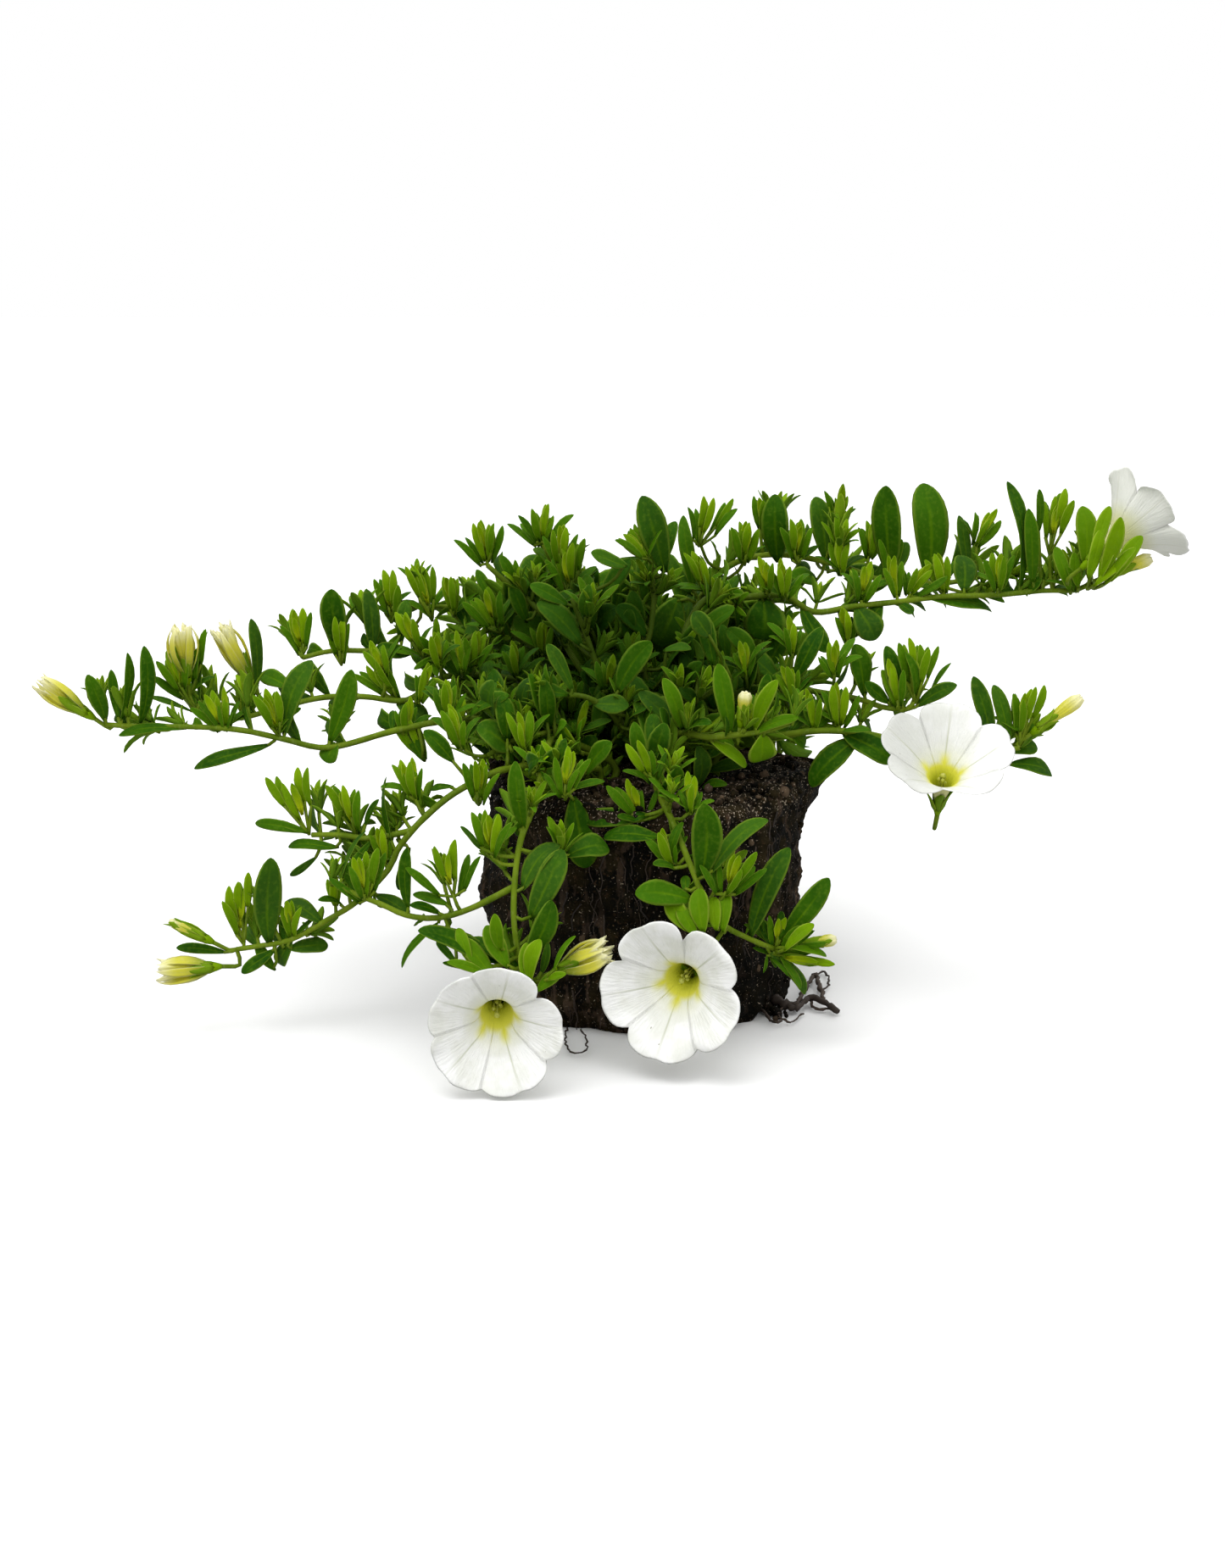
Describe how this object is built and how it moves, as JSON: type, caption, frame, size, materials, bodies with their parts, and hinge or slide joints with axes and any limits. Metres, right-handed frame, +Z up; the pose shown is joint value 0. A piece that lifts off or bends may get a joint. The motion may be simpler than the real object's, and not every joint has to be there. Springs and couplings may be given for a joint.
{
  "type": "calibrachoa plant on its bare root ball",
  "caption": "Trailing calibrachoa with white funnel flowers and cream buds on leafy shoots, standing on its bare root ball.",
  "frame": {"origin": "centre of the root ball's flat underside, which rests on the surface", "axes": "+Z up, +X to the right and -Y towards the viewer as pictured"},
  "size_m": [0.3337, 0.2034, 0.1572],
  "materials": {
    "soil": "crumbly peat soil with pale brown roots",
    "foliage": "matte green leaves with a fine pale down, yellow-green stems",
    "calyx": "matte green sepals",
    "petal": "soft white petals with faint grey veins and a yellow-green throat",
    "bud": "folded cream petals"
  },
  "bodies": {
    "root": {"back_left": "foliage", "back_left_low": "foliage", "back_middle": "foliage", "back_middle_low": "foliage", "back_right": "foliage", "back_right_low": "foliage", "bud_calyx_centre": "calyx", "bud_calyx_front": "calyx", "bud_calyx_front_right": "calyx", "bud_calyx_left_second": "calyx", "bud_calyx_left_third": "calyx", "bud_calyx_left_tip": "calyx", "bud_calyx_lower_left_high": "calyx", "bud_calyx_lower_left_low": "calyx", "bud_calyx_right_tip": "calyx", "bud_calyx_top_right": "calyx", "bud_centre": "bud", "bud_front": "bud", "bud_front_right": "bud", "bud_left_second": "bud", "bud_left_third": "bud", "bud_left_tip": "bud", "bud_lower_left_high": "bud", "bud_lower_left_low": "bud", "bud_right_tip": "bud", "bud_top_right": "bud", "calyx_front_left": "calyx", "calyx_front_right": "calyx", "calyx_right": "calyx", "calyx_top_right": "calyx", "centre_front": "foliage", "centre_left": "foliage", "centre_low": "foliage", "centre_mid": "foliage", "centre_right": "foliage", "corolla_front_left": "petal", "corolla_front_right": "petal", "corolla_right": "petal", "corolla_top_right": "petal", "front_left": "foliage", "front_right": "foliage", "left_high": "foliage", "left_long": "foliage", "left_top": "foliage", "left_upper": "foliage", "lower_left": "foliage", "right_mid": "foliage", "right_tip": "foliage", "root_ball": "soil", "top_bright": "foliage", "top_centre": "foliage", "top_crown": "foliage", "top_left": "foliage", "upper_right_back": "foliage", "upper_right_long": "foliage"}
  },
  "joints": []
}
